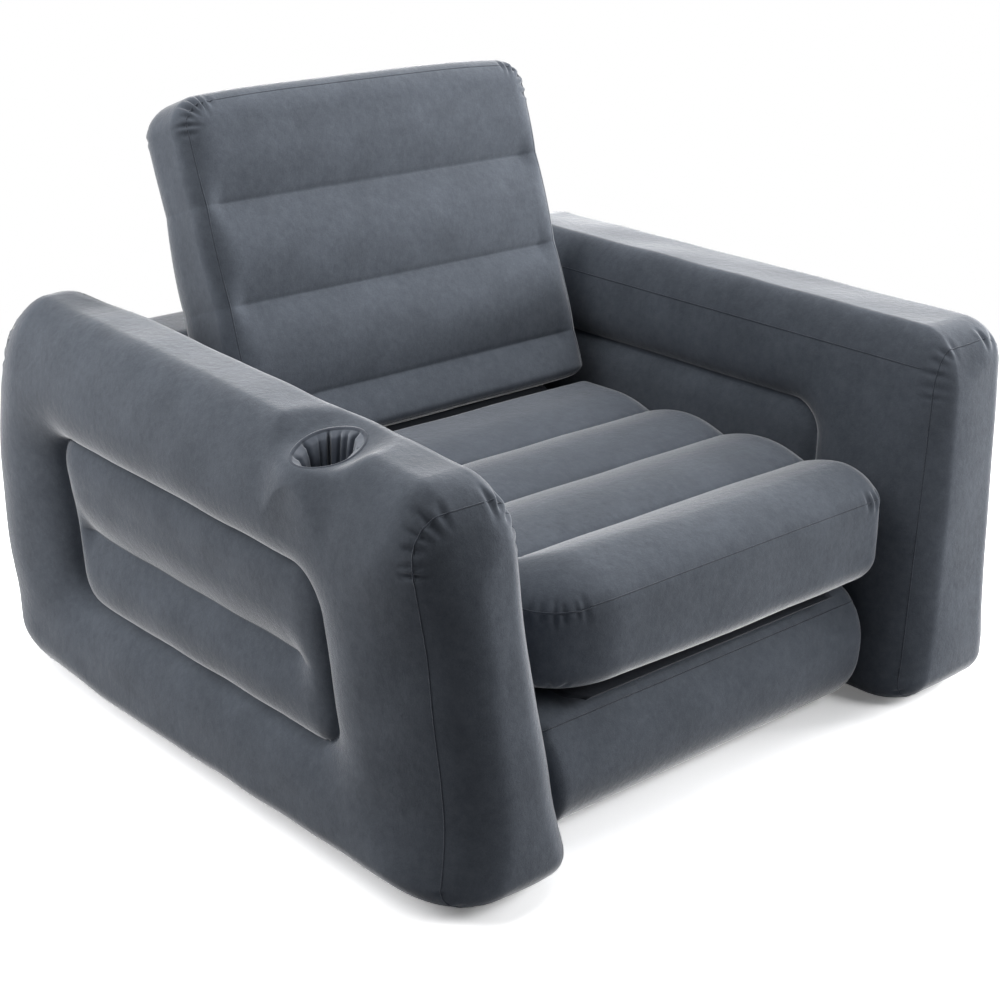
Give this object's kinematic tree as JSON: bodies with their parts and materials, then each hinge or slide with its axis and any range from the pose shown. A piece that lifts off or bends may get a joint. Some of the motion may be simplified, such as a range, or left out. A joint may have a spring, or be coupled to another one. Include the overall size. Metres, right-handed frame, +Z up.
{
  "type": "inflatable chair bed",
  "caption": "Air-filled armchair of flocked vinyl chambers whose channelled seat and backrest unfold forward into a low single bed, with a cup holder in one arm.",
  "frame": {"origin": "middle of the footprint, on the floor", "axes": "+X towards the sitter's left hand arm (the arm without a cup holder), +Y to the rear, +Z up"},
  "size_m": [1.1834, 1.12, 0.9234],
  "materials": {
    "flocked_vinyl": "flocked vinyl, velvety",
    "bare_vinyl": "soft matt vinyl",
    "web_vinyl": "uncoated vinyl strip",
    "valve_rubber": "matt soft vinyl",
    "insert_plastic": "moulded plastic",
    "cap_rubber": "matt soft vinyl",
    "flap_film": "clear soft film"
  },
  "bodies": {
    "frame": {"left_arm": "flocked_vinyl", "right_arm": "flocked_vinyl", "rear_bolster": "flocked_vinyl", "base_mattress": "flocked_vinyl", "left_arm_web_lower": "web_vinyl", "left_arm_web_middle": "web_vinyl", "left_arm_web_upper": "web_vinyl", "right_arm_web_lower": "web_vinyl", "right_arm_web_middle": "web_vinyl", "right_arm_web_upper": "web_vinyl", "rear_bolster_web": "web_vinyl", "base_web_1": "web_vinyl", "base_web_2": "web_vinyl", "base_web_3": "web_vinyl", "front_hinge_web": "bare_vinyl", "cup_holder_liner": "bare_vinyl", "frame_valve_body": "valve_rubber"},
    "seat": {"seat_panel": "flocked_vinyl", "seat_web_1": "web_vinyl", "seat_web_2": "web_vinyl", "seat_web_3": "web_vinyl", "rear_hinge_web": "bare_vinyl"},
    "backrest": {"backrest_panel": "flocked_vinyl", "backrest_web_1": "web_vinyl", "backrest_web_2": "web_vinyl", "backrest_web_3": "web_vinyl", "pullout_valve_body": "valve_rubber"},
    "frame_insert": {"frame_valve_insert": "insert_plastic", "frame_valve_flap": "flap_film"},
    "frame_cap": {"frame_valve_cap": "cap_rubber"},
    "pullout_insert": {"pullout_valve_insert": "insert_plastic", "pullout_valve_flap": "flap_film"},
    "pullout_cap": {"pullout_valve_cap": "cap_rubber"}
  },
  "joints": [
    {"name": "seat_fold", "type": "hinge", "parent": "frame", "child": "seat", "pos_m": [0, -0.506, 0.1978], "axis": [1, 0, 0], "range_deg": [0, 180], "deforming": ["front_hinge_web"]},
    {"name": "backrest_fold", "type": "hinge", "parent": "seat", "child": "backrest", "pos_m": [0, 0.13947, 0.395], "axis": [-1, 0, 0], "range_deg": [0, 71.2], "deforming": ["rear_hinge_web"]},
    {"name": "frame_insert_turn", "type": "hinge", "parent": "frame", "child": "frame_insert", "pos_m": [0.15, 0.5448, 0.13513], "axis": [0, 0.9968, 0.0797], "range_deg": [0, 270]},
    {"name": "frame_cap_hinge", "type": "hinge", "parent": "frame_insert", "child": "frame_cap", "pos_m": [0.15, 0.54875, 0.11959], "axis": [-1, 0, 0], "range_deg": [0, 150]},
    {"name": "pullout_insert_turn", "type": "hinge", "parent": "backrest", "child": "pullout_insert", "pos_m": [0.19003, 0.44917, 0.81379], "axis": [0.0199, 0.9465, -0.3222], "range_deg": [0, 270]},
    {"name": "pullout_cap_hinge", "type": "hinge", "parent": "pullout_insert", "child": "pullout_cap", "pos_m": [0.19009, 0.44663, 0.79796], "axis": [-0.9998, 0.0189, -0.0064], "range_deg": [0, 150]}
  ],
  "couplings": [
    {"joint": "backrest_fold", "follows": "seat_fold", "ratio": 0.39556}
  ]
}
